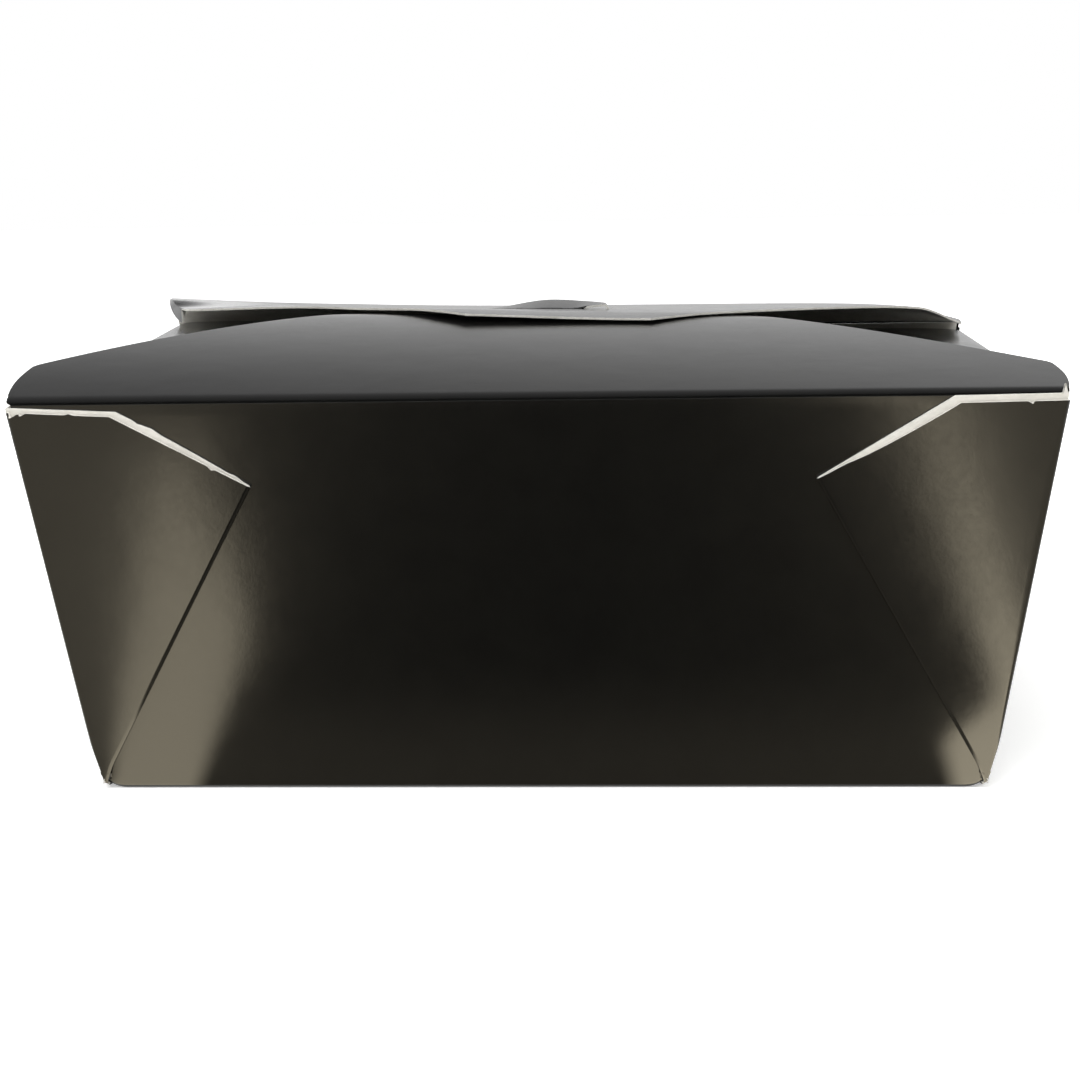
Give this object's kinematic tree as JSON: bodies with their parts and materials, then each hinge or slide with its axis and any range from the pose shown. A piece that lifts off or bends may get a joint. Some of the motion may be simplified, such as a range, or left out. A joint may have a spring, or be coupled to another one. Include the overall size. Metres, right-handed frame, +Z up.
{
  "type": "takeaway box",
  "caption": "Tapered takeaway box of glossy black board, folded corner webs, closed by two long arched flaps that a half-round tongue and slot hold together.",
  "frame": {"origin": "middle of the underside of the base, on the table plane", "axes": "+X along the length to the right as seen from the front, +Y from the front wall to the rear crease, +Z up"},
  "size_m": [0.2243, 0.1672, 0.1015],
  "materials": {
    "board": "semi-gloss black coating outside, off-white fibre at cut edges and inside",
    "flap_board": "semi-gloss black coating outside, off-white fibre at cut edges and inside"
  },
  "bodies": {
    "carton": {"carton": "board"},
    "flap": {"top_flap": "flap_board"}
  },
  "joints": [
    {"name": "rear_crease", "type": "hinge", "parent": "carton", "child": "flap", "pos_m": [0, 0.0825, 0.089], "axis": [-1, 0, 0], "range_deg": [0, 150]}
  ]
}
